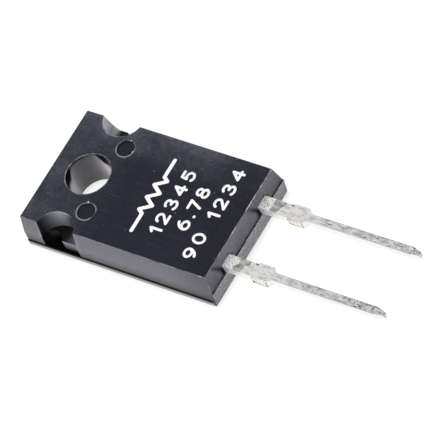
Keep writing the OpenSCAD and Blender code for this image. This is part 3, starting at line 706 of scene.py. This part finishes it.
# Each numeral's strokes, u along the row and v up, with its width after it. Heights run from 0 to 1, and a
# sharp corner starts a new stroke.
numerals = {
    "0": ([bend(0.4, 0.5, 0.4, 0.5, 0, 360)], 0.8),
    "1": ([[(0.0, 0.76), (0.3, 1.0)], [(0.3, 1.0), (0.3, 0.0)]], 0.3),
    "2": ([bend(0.36, 0.7, 0.36, 0.3, 165, -35) + [(0.0, 0.0)], [(0.0, 0.0), (0.74, 0.0)]], 0.74),
    "3": ([bend(0.35, 0.76, 0.32, 0.24, 150, -90), bend(0.35, 0.26, 0.38, 0.26, 90, -150)], 0.73),
    "4": ([[(0.58, 0.0), (0.58, 1.0)], [(0.58, 1.0), (0.0, 0.3)], [(0.0, 0.3), (0.78, 0.3)]], 0.78),
    "5": ([[(0.64, 1.0), (0.12, 1.0)], [(0.12, 1.0), (0.06, 0.55)], bend(0.33, 0.32, 0.37, 0.32, 132, -145)],
          0.7),
    "6": ([bend(0.37, 0.31, 0.37, 0.31, 0, 360), bend(0.7, 0.32, 0.7, 0.68, 180, 105)], 0.74),
    "7": ([[(0.0, 1.0), (0.72, 1.0)], [(0.72, 1.0), (0.26, 0.0)]], 0.72),
    "8": ([bend(0.36, 0.76, 0.29, 0.24, 0, 360), bend(0.36, 0.27, 0.36, 0.27, 0, 360)], 0.72),
    "9": ([bend(0.37, 0.69, 0.37, 0.31, 0, 360), bend(0.04, 0.68, 0.7, 0.68, 0, -75)], 0.74),
    ".": ([[(0.0, 0.03), (0.04, 0.03)]], 0.04),
}
numeral_height = 0.00088
ink_stroke = 0.0002
# Each row: its baseline's place along the part, where it starts and ends across it, and its characters. The
# characters are spread evenly, and a space counts as one of them.
rows = [
    (0.00774, -0.00264, 0.00255, "12345"),
    (0.00947, -0.00176, 0.00166, "6.78"),
    (0.01117, -0.00365, 0.0038, "90 1234"),
]
space_width = 0.35
numeral_strokes = []
for baseline, start, end, characters in rows:
    widths = [numerals[c][1] if c in numerals else space_width for c in characters]
    gap = (end - start - sum(widths) * numeral_height) / (len(characters) - 1)
    at = start
    for character, width in zip(characters, widths):
        for line in numerals[character][0] if character in numerals else []:
            numeral_strokes.append(
                [(baseline - v * numeral_height, at + u * numeral_height, 0) for u, v in line])
        at += width * numeral_height + gap
# The zigzag sign that stands for a resistor in any circuit drawing: zigs within an inner part of its reach, and
# a straight wire at each end.
sign_x, sign_reach, sign_half, sign_stroke = 0.00562, 0.00308, 0.0004, 0.00028
zigs, inner_part = 6, 0.52
zig = [(sign_x, -sign_reach, 0), (sign_x, -sign_reach * inner_part, 0)]
for i in range(zigs):
    zig_y = sign_reach * (-inner_part + 2 * inner_part * (i + 0.5) / zigs)
    zig.append((sign_x + sign_half * (1 if i % 2 else -1), zig_y, 0))
zig += [(sign_x, sign_reach * inner_part, 0), (sign_x, sign_reach, 0)]
sign_strokes = [[a, b] for a, b in zip(zig, zig[1:])]

ink_tree = bpy.data.node_groups.new("inked_strokes", "GeometryNodeTree")
ink_tree.interface.new_socket("Ink", in_out="OUTPUT", socket_type="NodeSocketGeometry")
ink_tree.interface.new_socket("Strokes", in_out="INPUT", socket_type="NodeSocketGeometry")
ink_sizes = named_sizes(ink_tree, {"Stroke": 0.0002, "Film": 0.00001, "Base": 0.0})
add = partial(node, ink_tree)
sizes = add("NodeGroupInput").outputs
level_up = add("GeometryNodeSetCurveNormal", {"Curve": sizes["Strokes"]}, mode="Z_UP")
nib = add("GeometryNodeCurvePrimitiveQuadrilateral", {"Width": sizes["Stroke"], "Height": sizes["Film"]})
ribbon = add("GeometryNodeCurveToMesh", {"Curve": level_up, "Profile Curve": nib, "Fill Caps": True})
half = add("Math", {0: sizes["Stroke"], 1: 0.5}, operation="MULTIPLY")
dot = add("GeometryNodeMeshCylinder", {"Vertices": 16, "Radius": half, "Depth": sizes["Film"]})
ends = add("GeometryNodeCurveEndpointSelection")
corners = add("GeometryNodeInstanceOnPoints", {"Points": sizes["Strokes"], "Instance": dot, "Selection": ends})
joined = add("GeometryNodeJoinGeometry")
ink_tree.links.new(ribbon.outputs[0], joined.inputs[0])
ink_tree.links.new(corners.outputs[0], joined.inputs[0])
raised = add("CombineXYZ", {"Z": sizes["Base"]})
lifted = add("GeometryNodeTransform", {"Geometry": joined, "Translation": raised})
real = add("GeometryNodeRealizeInstances", {"Geometry": lifted})
# Strokes that cross or meet are melted into one film, so that no face lies inside another.
melted = add("GeometryNodeMeshBoolean", {"Mesh 2": real, "Self Intersection": True}, operation="UNION",
    solver="EXACT")
finished = add("GeometryNodeSetMaterial", {"Geometry": melted, "Material": ink})
add("NodeGroupOutput", {"Ink": finished})

for name, strokes, breadth in (("white_numerals", numeral_strokes, ink_stroke),
                               ("white_resistor_sign", sign_strokes, sign_stroke)):
    stamp = bpy.data.curves.new(name + ".strokes", "CURVE")
    stamp.dimensions = "3D"
    for stroke in strokes:
        spline = stamp.splines.new("POLY")
        spline.points.add(len(stroke) - 1)
        for point, (x, y, z) in zip(spline.points, stroke):
            point.co = (x, y, z, 1)
    stamped = in_scene(name + ".strokes", stamp)
    inked = stamped.modifiers.new("ink", "NODES")
    inked.node_group = ink_tree
    for size, value in {"Stroke": breadth, "Film": ink_mm / 1000, "Base": skin_z + ink_mm / 2000}.items():
        inked[ink_sizes[size]] = value
    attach(plain_mesh(stamped, name), "root")

# Studio: a pale paper sweep under the part, a soft sky that is brighter near the ground, and one soft box on
# the near side.
paper, add = blank_material("pale_paper_sweep")
# The sheet is seen as white paper with the part's faint shadow, and mirrored by the part as plain white.
ray = add("LightPath")
mirrored = add("Math", {0: ray.outputs["Is Glossy Ray"], 1: ray.outputs["Is Transmission Ray"]},
    operation="MAXIMUM")
sheet = add("BsdfDiffuse", {"Color": "f2f2f2"})
shadowed = add("BsdfDiffuse", {"Color": "808080"})
# Painted contact shadow: close to the part, ambient occlusion dims the sheet's glow, on top of its real shadow.
contact_shade = add("AmbientOcclusion", {"Distance": 0.0006})
glow_less_painted_shadow = add("MapRange", {"Value": contact_shade.outputs["AO"], "From Min": 0.3, "To Min": 0.62, "To Max": 0.9})
glow = add("Emission", {"Color": "ffffff", "Strength": glow_less_painted_shadow})
lifted = add("AddShader", {0: shadowed, 1: glow})
white = add("Emission", {"Color": "ffffff", "Strength": 1.05})
either = add("MixShader", {0: ray.outputs["Is Camera Ray"], 1: sheet, 2: lifted})
either = add("MixShader", {0: mirrored, 1: either, 2: white})
add("OutputMaterial", {"Surface": either})
sheet_half, sheet_z = 1.5, -2e-5
floor_mesh = bpy.data.meshes.new("paper_sweep")
corners = [(x * sheet_half, y * sheet_half, sheet_z) for x, y in ((-1, -1), (1, -1), (1, 1), (-1, 1))]
floor_mesh.from_pydata(corners, [], [(0, 1, 2, 3)])
floor_mesh.materials.append(paper)
floor = in_scene("paper_sweep", floor_mesh)

sky = bpy.data.worlds.new("studio_tent")
sky.use_nodes = True
sky.node_tree.nodes.clear()
add = partial(node, sky.node_tree)
height = add("SeparateXYZ", {"Vector": add("TexCoord").outputs["Generated"]})
shade = add("MapRange", {"Value": height.outputs["Z"], "To Min": 1.05, "To Max": 0.68})
ray = add("LightPath")
shown = add("Mix", {0: ray.outputs["Is Camera Ray"], 2: shade, 3: 1.0})
tent = add("Background", {"Color": "ffffff", "Strength": shown})
add("OutputWorld", {"Surface": tent})
bpy.context.scene.world = sky

# One square soft box hangs on the near side and faces the part.
middle = Vector((0.008, 0, 0))
towards_box, box_distance = Vector((0.2, -0.8, 0.8)), 0.4
lamp = bpy.data.lights.new("near_side_box", "AREA")
lamp.shape = "SQUARE"
lamp.size, lamp.energy = 0.3, 0.9
hung = in_scene("near_side_box", lamp)
hung.location = middle + towards_box.normalized() * box_distance
hung.rotation_mode = "QUATERNION"
hung.rotation_quaternion = (-towards_box).to_track_quat("-Z", "Y")

# Camera: close to square on with a long lens, looking down past the lead end, and rolled so that the part
# lies across the frame.
azimuth, elevation, roll = math.radians(53.45), math.radians(51.29), math.radians(-28.35)
back = Vector((math.sin(azimuth) * math.cos(elevation), -math.cos(azimuth) * math.cos(elevation),
               math.sin(elevation)))
level = Vector((math.cos(azimuth), math.sin(azimuth), 0))
upright = back.cross(level)
across = math.cos(roll) * level + math.sin(roll) * upright
upward = -math.sin(roll) * level + math.cos(roll) * upright
lens = bpy.data.cameras.new("long_lens")
lens.sensor_width = 36
lens.lens = 335.68
lens.clip_start, lens.clip_end = 0.01, 10
camera = in_scene("camera", lens)
aim_z, right_by, down_by, off_by = 0.001, 0.0021739, 0.0000238, 0.2879076
spot = middle + Vector((0, 0, aim_z)) + across * right_by - upward * down_by + back * off_by
camera.matrix_world = Matrix.Translation(spot) @ Matrix((across, upward, back)).transposed().to_4x4()
bpy.context.scene.camera = camera
bpy.context.scene.view_settings.view_transform = "Standard"
